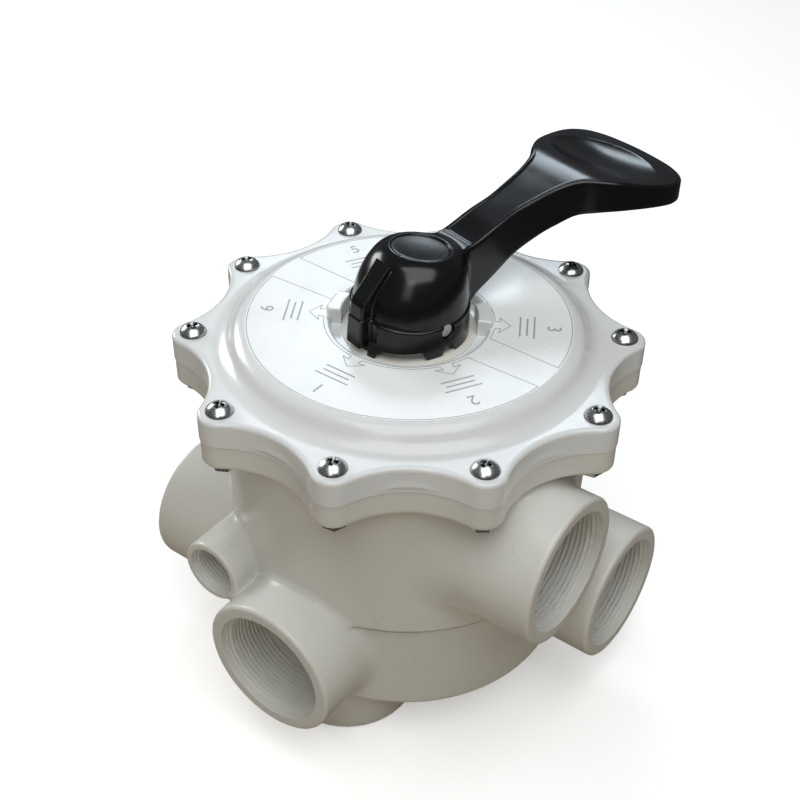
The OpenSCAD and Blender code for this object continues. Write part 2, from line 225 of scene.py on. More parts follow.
def curve_through(points, spacing=1.0):
    """A table of a smooth curve through a few points (cubic Hermite), for np.interp."""
    p = np.asarray(points, float)
    tangent = np.gradient(p[:, 1], p[:, 0])
    xs = np.arange(p[0, 0], p[-1, 0] + spacing / 2, spacing)
    i = np.clip(np.searchsorted(p[:, 0], xs, "right") - 1, 0, len(p) - 2)
    h = p[i + 1, 0] - p[i, 0]
    u = (xs - p[i, 0]) / h
    ys = (
        (2 * u**3 - 3 * u**2 + 1) * p[i, 1]
        + (u**3 - 2 * u**2 + u) * h * tangent[i]
        + (3 * u**2 - 2 * u**3) * p[i + 1, 1]
        + (u**3 - u**2) * h * tangent[i + 1]
    )
    return xs, ys


# ---------------------------------------------------------------- meshes
def dual_contour(shape, low, high, step):
    """Quads on the surface where shape(x, y, z) is zero. Keeps sharp edges, closed inside the box."""
    low, high = np.asarray(low, float), np.asarray(high, float)
    count = np.ceil((high - low) / step).astype(int) + 1
    axes = [low[i] + step * np.arange(count[i]) for i in range(3)]
    values = np.empty(count, np.float32)
    x, y, z = [a.astype(np.float32) for a in np.ix_(*axes)]
    slice_n = 24
    for i in range(0, count[0], slice_n):
        values[i : i + slice_n] = shape(x[i : i + slice_n], y, z)
    inside = values < 0
    quads, points, normals = [], [], []
    for d in range(3):
        e, f = (d + 1) % 3, (d + 2) % 3
        here = [slice(1, -1)] * 3
        here[d] = slice(0, -1)
        there = list(here)
        there[d] = slice(1, None)
        at = np.argwhere(inside[tuple(here)] != inside[tuple(there)])
        at += np.array([0 if k == d else 1 for k in range(3)])
        nxt = at.copy()
        nxt[:, d] += 1
        v0 = values[tuple(at.T)].astype(float)
        v1 = values[tuple(nxt.T)].astype(float)
        p = low + step * at
        p[:, d] += step * v0 / (v0 - v1)
        around = []
        for de, df in ((-1, -1), (0, -1), (0, 0), (-1, 0)):
            c = at.copy()
            c[:, e] += de
            c[:, f] += df
            around.append(np.ravel_multi_index(tuple(c.T), count))
        around = np.stack(around, 1)
        flip = v0 >= 0
        around[flip] = around[flip][:, ::-1]
        quads.append(around)
        points.append(p)
        normals.append(gradient(shape, p, step * 0.02))
    quads, points, normals = np.concatenate(quads), np.concatenate(points), np.concatenate(normals)
    ids, index = np.unique(quads.ravel(), return_inverse=True)
    index = index.reshape(quads.shape)
    n_cells = len(ids)

    def gathered(weights):
        total = np.zeros(n_cells)
        for k in range(4):
            total += np.bincount(index[:, k], weights, n_cells)
        return total

    hits = gathered(np.ones(len(points)))
    mean = np.stack([gathered(points[:, k]) / hits for k in range(3)], 1)
    offset = np.einsum("ij,ij->i", normals, points)
    ata = np.empty((n_cells, 3, 3))
    atb = np.empty((n_cells, 3))
    for a in range(3):
        atb[:, a] = gathered(normals[:, a] * offset)
        for b in range(3):
            ata[:, a, b] = gathered(normals[:, a] * normals[:, b])
    atb -= np.einsum("nij,nj->ni", ata, mean)
    ata += np.eye(3) * 0.05
    move = np.linalg.solve(ata, atb[:, :, None])[:, :, 0]
    length = np.linalg.norm(move, axis=1, keepdims=True)
    move *= np.minimum(1, 0.9 * step / np.maximum(length, 1e-9))
    return mean + move, index


def gradient(shape, p, h):
    """Unit normals of a distance field at points."""
    out = np.empty_like(p)
    for k in range(3):
        a, b = p.copy(), p.copy()
        a[:, k] += h
        b[:, k] -= h
        out[:, k] = shape(a[:, 0], a[:, 1], a[:, 2]) - shape(b[:, 0], b[:, 1], b[:, 2])
    return out / np.maximum(np.linalg.norm(out, axis=1, keepdims=True), 1e-12)


def ring_shell(rows):
    """Closed shell from rows of points round an axis; the last row joins the first, as on a torus."""
    n_rows, n_cols = rows.shape[:2]
    i = np.arange(n_rows)[:, None]
    j = np.arange(n_cols)[None, :]
    i2, j2 = (i + 1) % n_rows, (j + 1) % n_cols
    quads = np.stack([i * n_cols + j, i * n_cols + j2, i2 * n_cols + j2, i2 * n_cols + j], -1)
    return rows.reshape(-1, 3), quads.reshape(-1, 4)


def strip_shell(line, width, z0, z1, closed=False):
    """Thin closed bar of a width along a flat line of points, from height z0 to z1."""
    line = np.asarray(line, float)
    if closed:
        along = np.roll(line, -1, 0) - np.roll(line, 1, 0)
    else:
        along = np.gradient(line, axis=0)
    along /= np.linalg.norm(along, axis=1, keepdims=True)
    side = np.stack([-along[:, 1], along[:, 0]], 1) * width / 2
    loops = []
    for s, z in ((-1, z0), (1, z0), (1, z1), (-1, z1)):
        flat = line + s * side
        loops.append(np.column_stack([flat, np.full(len(line), z)]))
    points, quads = ring_shell(np.stack(loops, 1))
    if closed:
        return points, quads
    n = len(line)
    caps = np.array([[0, 1, 2, 3], [4 * n - 1, 4 * n - 2, 4 * n - 3, 4 * n - 4]])
    return points, np.concatenate([quads[: (n - 1) * 4, ::-1], caps])


def outward(points, faces):
    """The same closed shell with its faces turned outwards."""
    a, b, c, d = (points[faces[:, k]] for k in (0, 1, 2, -1))
    volume = np.einsum("ij,ij->", a, np.cross(b, c)) + np.einsum("ij,ij->", a, np.cross(c, d))
    return faces if volume > 0 else faces[:, ::-1]


def new_piece(name, shells, body, material, stands_for=()):
    """One object from closed shells of (points in mm, quads or triangles), riding on a CAD body.

    It takes the place of the CAD nodes that it stands for. Edges over 38 degrees are shaded sharp.
    """
    points, corners, sizes, first = [], [], [], 0
    for p, faces in shells:
        points.append(p)
        corners.append(outward(p, faces).ravel() + first)
        sizes.append(np.full(len(faces), faces.shape[1]))
        first += len(p)
    points, corners, sizes = np.concatenate(points), np.concatenate(corners), np.concatenate(sizes)
    mesh = bpy.data.meshes.new(name)
    mesh.vertices.add(len(points))
    mesh.vertices.foreach_set("co", to_row(points).astype(np.float32).ravel())
    mesh.loops.add(len(corners))
    mesh.loops.foreach_set("vertex_index", corners.astype(np.int32))
    mesh.polygons.add(len(sizes))
    mesh.polygons.foreach_set("loop_start", (np.cumsum(sizes) - sizes).astype(np.int32))
    mesh.update(calc_edges=True)
    mesh.validate()
    mesh.shade_smooth()
    mesh.set_sharp_from_angle(angle=math.radians(38))
    mesh.materials.append(material)
    obj = bpy.data.objects.new(name, mesh)
    bpy.context.scene.collection.objects.link(obj)
    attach(obj, body)
    if stands_for:
        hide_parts(*stands_for)
    return obj


def thread_lining(place, crest, root, pitch, t0, length, outer):
    """Helical internal thread as a closed sleeve. place(t, r, angle) gives a point.

    The profile is a trapezoid, and the first turn grows out of the plain bore.
    """
    columns = 128
    per_turn = 14
    n = int(length / pitch * per_turn)
    t = t0 + np.linspace(0, length, n + 1)[:, None]
    angle = np.linspace(0, 2 * math.pi, columns, endpoint=False)[None, :]
    phase = (t - t0) / pitch - angle / (2 * math.pi)
    wave = np.abs(((phase + 100) % 1.0) * 2 - 1)
    height = np.clip((wave - 0.12) / 0.76, 0, 1)
    ramp = smooth_step(phase, -0.3, 0.7)
    radius = root - (root - crest) * height * ramp
    wall = np.full_like(angle, outer)
    rows = [place(t + 0 * angle, radius, angle + 0 * t)]
    rows.append(place(t[-1:] + 0 * angle, wall, angle))
    rows.append(place(t[:1] + 0 * angle, wall, angle))
    return ring_shell(np.concatenate(rows))


def side_place(port, reach=REACH):
    """Points of a side port from depth, radius and angle."""
    turn, shift, height = port
    c, s = math.cos(math.radians(turn)), math.sin(math.radians(turn))

    def place(t, r, angle):
        along, across, up = reach - t, shift + r * np.cos(angle), height + r * np.sin(angle)
        return np.stack([along * c - across * s, along * s + across * c, up], -1)

    return place


def bottom_place(t, r, angle):
    """Points of the bottom port from depth, radius and angle."""
    return np.stack([r * np.sin(angle), r * np.cos(angle) - STEM_OFFSET, MOUTH_Z + t], -1)


def port_thread(place):
    """Thread sleeve of a 2 inch port."""
    return thread_lining(
        place, THREAD_CREST_R, THREAD_ROOT_R, THREAD_PITCH, MOUTH_LEN, THREAD_LEN, SLEEVE_R
    )


# ---------------------------------------------------------------- housing shapes
def lobed_outline(x, y):
    """Signed distance to the flange outline with ten lobes."""
    r = np.hypot(x, y)
    half = LOBE_PITCH / 2
    a = np.abs((np.arctan2(y, x) + half) % LOBE_PITCH - half)
    u, v = r * np.cos(a), r * np.sin(a)
    lobe = np.hypot(u - SCREW_CIRCLE_R, v) - LOBE_R
    centre = VALLEY_ARC_D * np.array([math.cos(half), math.sin(half)])
    valley = VALLEY_ARC_R - np.hypot(u - centre[0], v - centre[1])
    return np.minimum(np.maximum(r - LOBE_BLEND_R, valley), lobe)


def stepped_bore(t, rho, wide_r, wide_depth, narrow_r):
    """Wide bore down to a depth, and a narrow one all the way."""
    return np.minimum(np.maximum(rho - wide_r, t - wide_depth), rho - narrow_r)


def drilled(solid, coordinates, bore, limit):
    """Solid with a port's stepped bore cut in. The limit of depth lies in the hollow of the drum."""
    t, rho = coordinates
    return np.maximum(solid, np.where(t < limit, -stepped_bore(t, rho, *bore), -1e3))


def screw_hole_field(x, y):
    """Distance to the nearest of the ten screw holes."""
    a = (np.arctan2(y, x) + LOBE_PITCH / 2) % LOBE_PITCH - LOBE_PITCH / 2
    r = np.hypot(x, y)
    return np.hypot(r * np.cos(a) - SCREW_CIRCLE_R, r * np.sin(a)) - SCREW_HOLE_R


def side_tube(port, x, y, z):
    """Outside of a side port's socket, from its mouth into the drum."""
    t, rho = port_coordinates(port, x, y, z)
    return rounded_and(rho - PORT_R, slab(t, 0, REACH - 40), 1.8)


def outer_body(x, y, z):
    """Outside of both body mouldings together: stepped drum, five sockets and the lower flange."""
    r = np.hypot(x, y)
    flange_z = -2 * FLANGE_T
    upper_r = UPPER_FOOT_R + (z - SHOULDER_Z) * (UPPER_TOP_R - UPPER_FOOT_R) / (flange_z - SHOULDER_Z)
    upper = rounded_and(r - upper_r, slab(z, SHOULDER_Z, -FLANGE_T - 2), 0.9)
    lower_r = LOWER_FOOT_R + (z - FLOOR_Z) * (LOWER_TOP_R - LOWER_FOOT_R) / (SHOULDER_Z - FLOOR_Z)
    lower = rounded_and(rounded_and(r - lower_r, FLOOR_Z - z, 3.0), z - SEAM_Z, 0.6)
    # groove between the seam and the shoulder
    lower = np.minimum(lower, np.maximum(r - lower_r + 2.2, slab(z, SEAM_Z - 5, SHOULDER_Z + 5)))
    solid = rounded_or(upper, side_tube(RIGHT_HIGH, x, y, z), 9.0)
    solid = np.minimum(solid, lower)
    for port in LOWER_PORTS:
        solid = rounded_or(solid, side_tube(port, x, y, z), 5.0)
    t, rho = bottom_coordinates(x, y, z)
    solid = rounded_or(solid, rounded_and(rho - PORT_R, slab(t, 0, 30), 1.8), 4.0)
    t, rho = port_coordinates(SIGHT, x, y, z, SIGHT_REACH)
    solid = rounded_or(solid, rounded_and(rho - SIGHT_R, slab(t, 0, 60), 1.2), 3.0)
    flange = rounded_and(lobed_outline(x, y) + PARTING, flange_z - z, 1.7)
    return rounded_or(solid, np.maximum(flange, z + FLANGE_T), 3.0)


def lower_zone(x, y, z):
    """Negative where the housing belongs to the lower moulding: under the shoulder, and its sockets."""
    zone = z - SHOULDER_Z
    for port in LOWER_PORTS:
        t, rho = port_coordinates(port, x, y, z)
        zone = np.minimum(zone, np.maximum(rho - PORT_R - 0.6, t - 70))
    t, rho = port_coordinates(SIGHT, x, y, z, SIGHT_REACH)
    return np.minimum(zone, np.maximum(rho - SIGHT_R - 0.5, t - 60))


def upper_body_shape(x, y, z):
    """Upper drum with its flange, hollow, and the upper right port."""
    r = np.hypot(x, y)
    solid = np.maximum(outer_body(x, y, z), -lower_zone(x, y, z))
    solid = np.maximum(solid, UPPER_INSIDE_R - r)
    solid = drilled(solid, port_coordinates(RIGHT_HIGH, x, y, z), PORT_BORE, 90)
    # the screw holes stop 8 mm under the flange, so that they don't cut the sockets
    return np.maximum(solid, -np.maximum(screw_hole_field(x, y), -2 * FLANGE_T - 8 - z))


def lower_body_shape(x, y, z):
    """Lower drum with its floor, and the other ports."""
    r = np.hypot(x, y)
    solid = np.maximum(outer_body(x, y, z), lower_zone(x, y, z))
    solid = np.maximum(solid, -np.maximum(r - LOWER_INSIDE_R, FLOOR_Z + FLOOR_T - z))
    for port in LOWER_PORTS:
        solid = drilled(solid, port_coordinates(port, x, y, z), PORT_BORE, 70)
    solid = drilled(solid, bottom_coordinates(x, y, z), PORT_BORE, 40)
    return drilled(solid, port_coordinates(SIGHT, x, y, z, SIGHT_REACH), SIGHT_BORE, 50)


def cover_shape(x, y, z):
    """Lobed plate with the raised disc, the pocket around the hub, its crown and two stop blocks."""
    r = np.hypot(x, y)
    plate = rounded_and(lobed_outline(x, y), z, 1.8)
    plate = np.maximum(plate, -FLANGE_T - z)
    side = ((r - DOME_FOOT_R) * DOME_H + z * DOME_RUN) / math.hypot(DOME_H, DOME_RUN)
    dome = rounded_and(side, z - DOME_H, 3.0)
    dome = np.maximum(dome, -8 - z)
    solid = rounded_or(plate, dome, 4.0)
    pocket = rounded_and(r - POCKET_R, POCKET_FLOOR_Z - z, 0.8)
    solid = rounded_and(solid, -pocket, 0.9)
    # crown and blocks reach down into the pocket's floor
    root_z = POCKET_FLOOR_Z - 2
    crown = rounded_and(r - CROWN_R, z - CROWN_Z, 0.8)
    solid = rounded_or(solid, np.maximum(crown, root_z - z), 0.8)
    half = math.radians(STOP_HALF_ANGLE)
    for middle in STOP_BLOCKS:
        u, v = turned(x, y, middle)
        edge = np.abs(v) * math.cos(half) - u * math.sin(half)
        block = np.maximum(slab(r, 32.2, 39.0), edge)
        block = rounded_and(block, z - STOP_Z, 0.7)
        solid = rounded_or(solid, np.maximum(block, root_z - z), 0.6)
    return np.maximum(solid, -np.minimum(r - STEM_HOLE_R, screw_hole_field(x, y)))


# ---------------------------------------------------------------- handle shapes, in the lever's frame
# Points on smooth curves. The hub's radius and its lean towards the lever go with the height; the
# lever's half width, top and underside go with the distance from the stem's axis.
HUB_SIDE = [
    [-4, 28.2], [10, 27.6], [22, 27.0], [28, 26.4], [34, 25.2], [39, 23.4], [43, 21.0], [47, 17.2],
    [52, 11],
]
HUB_SHIFT = [[-4, 0], [20, 0.2], [30, 1.4], [40, 3.6], [46.6, 5.2], [52, 6.4]]
LEVER_HALF_WIDTH = [
    [0, 11], [40, 11], [55, 10.5], [66, 11.7], [78, 13.8], [88, 17.5], [96, 24], [103, 29], [110, 32.6],
    [118, 35.8], [127, 38], [134, 38.2], [140, 36], [145, 31], [148.5, 22], [150, 11], [150.5, 0],
]
LEVER_TOP = [
    [0, 43], [12, 42.8], [26, 43.2], [44, 48.8], [63, 54], [78, 57.8], [86, 59.6], [93, 60.2], [103, 59.2],
    [120, 55.4], [135, 52.8], [151, 51.5], [160, 51],
]
LEVER_UNDER = [
    [0, 8], [24, 8], [32, 15], [41, 20.2], [56, 28.2], [70, 34.2], [81, 37.8], [89, 40.9], [98, 42.6],
    [112, 43], [125, 42.2], [139, 40.5], [151, 38.5], [160, 37],
]
# The cap's disc lies in the hub's sloping top
CAP_TILT = math.radians(9.0)
CAP_E, CAP_Z = 5.8, 46.3
CAP_R = 13.6
# Dish in the paddle
DISH_X = 122.0
DISH_HALF_LENGTH = 20.5
DISH_HALF_WIDTH = 30.5
DISH_DEPTH = 3.2
PANEL_DEPTH = 0.55


def plan_distance(low, high, spacing=0.5):
    """Lookup of the signed distance to the lever's plan outline, from a table.

    The outline is a Catmull-Rom curve through the half widths, mirrored.
    """
    half = np.array(LEVER_HALF_WIDTH)
    one_side = []
    for i in range(len(half) - 1):
        p0, p1, p2, p3 = [half[min(max(k, 0), len(half) - 1)] for k in (i - 1, i, i + 1, i + 2)]
        bend, twist = 2 * p0 - 5 * p1 + 4 * p2 - p3, 3 * p1 - p0 - 3 * p2 + p3
        for t in np.linspace(0, 1, 12, endpoint=False):
            one_side.append(0.5 * (2 * p1 + (p2 - p0) * t + bend * t * t + twist * t**3))
    one_side.append(half[-1])
    one_side = np.array(one_side)
    outline = np.concatenate([one_side, (one_side * [1, -1])[-2::-1]])
    xs = np.arange(low[0], high[0] + spacing, spacing)
    ys = np.arange(low[1], high[1] + spacing, spacing)
    x, y = np.meshgrid(xs, ys, indexing="ij")
    nearest = np.full(x.shape, 1e9)
    inside = np.zeros(x.shape, bool)
    for a, b in zip(outline, np.roll(outline, -1, 0)):
        e = b - a
        u = np.clip(((x - a[0]) * e[0] + (y - a[1]) * e[1]) / max(e @ e, 1e-12), 0, 1)
        nearest = np.minimum(nearest, (x - a[0] - u * e[0]) ** 2 + (y - a[1] - u * e[1]) ** 2)
        crosses = (a[1] > y) != (b[1] > y)
        at = a[0] + (y - a[1]) / (e[1] or 1e-12) * e[0]
        inside ^= crosses & (x < at)
    table = np.where(inside, -1, 1) * np.sqrt(nearest)

    def lookup(px, py):
        """Bilinear reading of the table."""
        px, py = np.broadcast_arrays(px, py)
        fx = np.clip((px - xs[0]) / spacing, 0, len(xs) - 1.001)
        fy = np.clip((py - ys[0]) / spacing, 0, len(ys) - 1.001)
        i, j = fx.astype(int), fy.astype(int)
        u, v = fx - i, fy - j
        return (table[i, j] * (1 - u) * (1 - v) + table[i + 1, j] * u * (1 - v)
                + table[i, j + 1] * (1 - u) * v + table[i + 1, j + 1] * u * v)

    return lookup


lever_plan = plan_distance((-50, -60), (165, 60))
TOP_X, TOP_Z = curve_through(LEVER_TOP)
UNDER_X, UNDER_Z = curve_through(LEVER_UNDER)
SIDE_Z, SIDE_R = curve_through(HUB_SIDE)
SHIFT_Z, SHIFT_X = curve_through(HUB_SHIFT)


def lever_shape(x, y, z):
    """Lever and paddle: plan outline between the curved top and underside, with rounded edges."""
    plan = lever_plan(x, y)
    top_z = np.interp(x, TOP_X, TOP_Z)
    rise = np.interp(x, TOP_X, np.gradient(TOP_Z, TOP_X))
    under_z = np.interp(x, UNDER_X, UNDER_Z)
    fall = np.interp(x, UNDER_X, np.gradient(UNDER_Z, UNDER_X))
    # shallow panel inside the top's rounded edge, and the thumb dish in the paddle
    panel = PANEL_DEPTH * smooth_step(-plan, 1.9, 3.2)
    panel = panel * smooth_step(x, 27.5, 29.5) * (1 - smooth_step(x, 84, 100))
    dish = np.clip(1 - ((x - DISH_X) / DISH_HALF_LENGTH) ** 2 - (y / DISH_HALF_WIDTH) ** 2, 0, 1)
    top = (z - top_z + panel + DISH_DEPTH * dish**0.85) / np.sqrt(1 + rise**2)
    under = (under_z - z) / np.sqrt(1 + fall**2)
    solid = rounded_and(plan, top, 1.9)
    return rounded_and(solid, under, 2.6)


def hub_shape(x, y, z):
    """Leaning dome with a sloping top, over the skirt."""
    rho = np.hypot(x - np.interp(z, SHIFT_Z, SHIFT_X), y)
    side = (rho - np.interp(z, SIDE_Z, SIDE_R)) * 0.94
    top = (x - CAP_E) * math.sin(CAP_TILT) + (z - CAP_Z) * math.cos(CAP_TILT)
    dome = rounded_and(side, top, 4.6)
    # the skirt stands proud of the dome next to the pointer and fades out towards the pin; below
    # 12 mm it reaches 9 degrees further round
    around = np.degrees(np.arctan2(y, x)) % 360
    start = 199 - 9 * smooth_step(-z, -13.5, -12)
    taper = 2.8 - 0.13 * (z - SKIRT_Z)
    proud = taper * smooth_step(around, start, start + 2.5) * (1 - smooth_step(around, 212, 262))
    ledge_z = 21.8 - 1.8 * smooth_step(around, 200, 250)
    skirt = rounded_and(np.hypot(x, y) - 28.2 - proud, z - ledge_z, 0.9)
    return np.minimum(dome, skirt)


def pointer_shape(x, y, z):
    """Wedge on the side away from the lever: a sloping roof, a steep nose and a wider foot."""
    fall, run = 11.5, 11.0
    roof = (-(x + 19.7) * fall + (z - 42.4) * run) / math.hypot(fall, run)
    nose = -x - 30.7 - 0.16 * (31 - z)
    half = 4.5 + 0.05 * np.maximum(z - 30, 0)
    wedge = rounded_and(rounded_and(roof, nose, 1.0), np.abs(y) - half, 1.0)
    wedge = np.maximum(wedge, 22.6 - z)
    foot = rounded_and(-x - 32.3 - 0.08 * (23 - z), np.abs(y) - 5.1, 1.0)
    foot = rounded_and(foot, slab(z, 8.5, 23.2), 0.8)
    return np.maximum(np.minimum(wedge, foot), x + 16)


def handle_shape(x, y, z):
    """Hub, lever and pointer as one moulding, with its hollows."""
    x, y = turned(x, y, LEVER_AZ)
    r = np.hypot(x, y)
    solid = rounded_or(hub_shape(x, y, z), lever_shape(x, y, z), 2.5)
    solid = rounded_or(solid, pointer_shape(x, y, z), 0.8)
    solid = np.maximum(solid, SKIRT_Z - z)
    # seat of the cap
    along = (x - CAP_E) * math.cos(CAP_TILT) - (z - CAP_Z) * math.sin(CAP_TILT)
    up = (x - CAP_E) * math.sin(CAP_TILT) + (z - CAP_Z) * math.cos(CAP_TILT)
    seat = np.maximum(np.hypot(along, y) - CAP_R - 0.05, -2.0 - up)
    solid = rounded_and(solid, -seat, 1.1)
    # hollow of the skirt, and room for the stem's head
    solid = np.maximum(solid, -np.maximum(r - SKIRT_INSIDE_R, z - 11))
    solid = np.maximum(solid, -np.maximum(np.maximum(np.abs(x) - 17.5, np.abs(y) - 10.6), z - 34))
    # notches between the index teeth, narrower towards the top
    angle = np.abs(np.arctan2(y, x)) * 180 / math.pi
    lean = (z - SKIRT_Z) * 0.9
    for a0, a1 in ((80.0, 97.0), (113.0, 160.0)):
        notch = np.maximum(slab(angle, a0 + lean, a1 - lean) * r * math.pi / 180, z - 9.8)
        solid = np.maximum(solid, -np.maximum(notch, 25.0 - r))
    # hole of the cross pin, wider at its ends
    from_pin = np.hypot(x, z - PIN_Z)
    solid = np.maximum(solid, -np.maximum(from_pin - PIN_R - 0.7, 26.2 - np.abs(y)))
    return np.maximum(solid, -(from_pin - PIN_R))


def cap_shell():
    """Dished disc in the hub's sloping top, as rings of (radius, height)."""
    rings = [
        (0.02, -1.5), (4, -1.42), (7, -1.22), (10, -0.9), (CAP_R - 1.6, -0.66), (CAP_R - 0.7, -0.6),
        (CAP_R - 0.15, -0.75), (CAP_R, -1.1), (CAP_R, -2.0), (0.02, -2.0),
    ]
    r, w = np.array(rings)[:, :, None].transpose(1, 0, 2)
    angle = np.linspace(0, 2 * math.pi, 96, endpoint=False)
    u, v = r * np.cos(angle), r * np.sin(angle)
    out = CAP_E + u * math.cos(CAP_TILT) + w * math.sin(CAP_TILT)
    up = CAP_Z - u * math.sin(CAP_TILT) + w * math.cos(CAP_TILT)
    x, y = turned(out, v, -LEVER_AZ)
    return ring_shell(np.stack([x, y, up], -1))


# ---------------------------------------------------------------- fasteners
def screw_shape(x, y, z):
    """Cross recessed pan head on a shank."""
    r = np.hypot(x, y)
    head = rounded_and(np.hypot(r, z - HEAD_H + HEAD_DOME_R) - HEAD_DOME_R, r - HEAD_R, 0.35)
    head = np.maximum(head, -z)
    # the cross narrows and runs out towards the tips of its arms
    bottom = 1.5 + 0.75 * r
    flank = 0.85 + 0.12 * (z - 3.0)
    half_length = 3.0
    along_x = np.maximum(np.abs(x) - half_length, np.abs(y) - flank)
    along_y = np.maximum(np.abs(y) - half_length, np.abs(x) - flank)
    cross = np.minimum(np.minimum(along_x, along_y), r - 1.35)
    head = rounded_and(head, -np.maximum(cross, bottom - z), 0.12)
    shank = np.maximum(r - SHANK_R, slab(z, -7.0, 1.0))
    return np.minimum(head, shank)


def nut_shape(x, y, z):
    """Thin hexagon nut with chamfered corners."""
    flats = np.maximum(np.abs(y), np.abs(x) * math.cos(math.pi / 6) + np.abs(y) * 0.5) - NUT_HALF_WIDTH
    r = np.hypot(x, y)
    cone = (r - 5.5) * 0.5 + (np.abs(z - NUT_T / 2) - NUT_T / 2) * 0.87
    solid = np.maximum(np.maximum(flats, slab(z, 0, NUT_T)), cone)
    return np.maximum(solid, SHANK_R - r)


def rod_thread(z0, z1):
    """External M6 thread as a closed rod around the Z axis."""
    columns, per_turn, pitch = 24, 8, 1.0
    n = int((z1 - z0) / pitch * per_turn)
    z = np.linspace(z0, z1, n + 1)[:, None]
    a = np.linspace(0, 2 * math.pi, columns, endpoint=False)[None, :]
    wave = np.abs(((z / pitch - a / (2 * math.pi) + 100) % 1.0) * 2 - 1)
    end = np.clip((z - z0) / 0.8, 0, 1)
    r = (2.45 + 0.53 * wave) * (0.8 + 0.2 * end)
    rows = [np.stack([r * np.cos(a), r * np.sin(a), z + 0 * a], -1)]
    tip = 0.01
    for end_z in (z1, z0):
        rows.append(np.stack([tip * np.cos(a), tip * np.sin(a), end_z + 0 * a], -1))
    return ring_shell(np.concatenate(rows))


def coil_shell(radius, wire, turns, z0, z1):
    """Helical spring of round wire between two heights, with flat cut ends."""
    sides = 12
    n = turns * 48
    turn = np.linspace(0, 1, n + 1)[:, None]
    a = 2 * math.pi * turns * turn
    b = 2 * math.pi * np.arange(sides)[None, :] / sides
    r = radius + wire * np.cos(b)
    points = np.stack([r * np.cos(a), r * np.sin(a), z0 + (z1 - z0) * turn + wire * np.sin(b)], -1)
    i, j = np.arange(n)[:, None] * sides, np.arange(sides)[None, :]
    j2 = (j + 1) % sides
    quads = np.stack([i + j, i + j2, i + sides + j2, i + sides + j], -1).reshape(-1, 4)
    k = np.arange(sides // 2 - 1)
    disc = np.stack([k, k + 1, sides - 2 - k, sides - 1 - k], -1)
    return points.reshape(-1, 3), np.concatenate([quads, disc[:, ::-1], disc + n * sides])


def around_lobes(shell, z, seed):
    """Copies of a shell on the screw circle, each turned differently."""
    rng = np.random.default_rng(seed)
    points, quads = shell
    out = []
    for i in range(LOBES):
        x, y = turned(points[:, 0], points[:, 1], -rng.uniform(0, 360))
        at = LOBE_PITCH * i
        middle = [SCREW_CIRCLE_R * math.cos(at), SCREW_CIRCLE_R * math.sin(at), z]
        out.append((np.stack([x, y, points[:, 2]], -1) + middle, quads))
    return out


# ---------------------------------------------------------------- label
def arc(radius, a0, a1, step=1.0):
    """Points of an arc about the stem between two angles in degrees."""
    a = np.radians(np.linspace(a0, a1, max(int(abs(a1 - a0) / step), 2) + 1))
    return np.stack([radius * np.cos(a), radius * np.sin(a)], 1)


def polar(radius, degrees):
    """One point at a radius and an angle about the stem."""
    return radius * np.array([math.cos(math.radians(degrees)), math.sin(math.radians(degrees))])


def arrow_outline(at):
    """Outward arrow that grows out of the inner line at an angle."""
    foot, neck, barb = (INNER_LINE_R, ARROW_HALF), (43.0, 3.6), (42.6, 8.5)
    left = [polar(r, at - half) for r, half in (foot, neck, barb)]
    right = [polar(r, at + half) for r, half in (barb, neck, foot)]
    return np.array(left + [polar(47.6, at)] + right)


def straight(a, b, spacing=0.8):
    """Evenly spaced points from a to b."""
    n = max(int(np.linalg.norm(b - a) / spacing), 1)
    return np.array([a + (b - a) * k / n for k in range(n)] + [b])


def label_lines():
    """Printed line work: a ring, and two outlined halves that hold three positions each."""
    ring = arc(COVER_RING_R, 0, 360)[:-1]
    shells = [strip_shell(ring, LINE_WIDTH, DOME_H - 0.1, DOME_H + 0.06, closed=True)]
    for side in (-1, 1):
        start = 13.0
        path = [[polar(OUTER_LINE_R, side * 6.5)], [polar(INNER_LINE_R + 1.3, side * start)]]
        for at in (30.0, 90.0, 150.0):
            path.append(arc(INNER_LINE_R, side * start, side * (at - ARROW_HALF)))
            path.append(arrow_outline(at) * [1, side])
            start = at + ARROW_HALF
        path.append(arc(INNER_LINE_R, side * start, side * 167.0))
        path.append(arc(OUTER_LINE_R, side * 172.0, side * 6.5))
        path = np.concatenate(path)
        for a, b in zip(path[:-1], path[1:]):
            if np.linalg.norm(b - a) > 1e-6:
                shells.append(strip_shell(straight(a, b), LINE_WIDTH, *INK_Z))
    return shells


def figure_shells():
    """Position numbers 1 to 6 as flat printed figures, each over three short bars."""
    shells = []
    half_depth = 0.05
    for k in range(6):
        curve = bpy.data.curves.new("figure", "FONT")
        curve.body = str(k + 1)
        curve.size = FIGURE_SIZE
        curve.extrude = half_depth
        curve.align_x = "CENTER"
        curve.align_y = "CENTER"
        holder = bpy.data.objects.new("figure", curve)
        bpy.context.scene.collection.objects.link(holder)
        bpy.context.view_layer.update()
        net = bmesh.new()
        net.from_mesh(holder.to_mesh())
        bmesh.ops.remove_doubles(net, verts=net.verts, dist=1e-4)
        bmesh.ops.triangulate(net, faces=net.faces)
        points = np.array([v.co[:] for v in net.verts])
        faces = np.array([[v.index for v in f.verts] for f in net.faces])
        net.free()
        holder.to_mesh_clear()
        bpy.data.objects.remove(holder)
        bpy.data.curves.remove(curve)
        at = -90 + 60 * k
        x, y = turned(points[:, 0], points[:, 1], 90 - at)
        flat = np.column_stack([x, y]) + polar(FIGURE_R, at)
        shells.append((np.column_stack([flat, points[:, 2] + INK_Z[1] - half_depth]), faces))
        for radius, half in BARS:
            middle, across = polar(radius, at), polar(half, at + 90)
            shells.append(strip_shell(straight(middle - across, middle + across), 0.8, *INK_Z))
    return shells


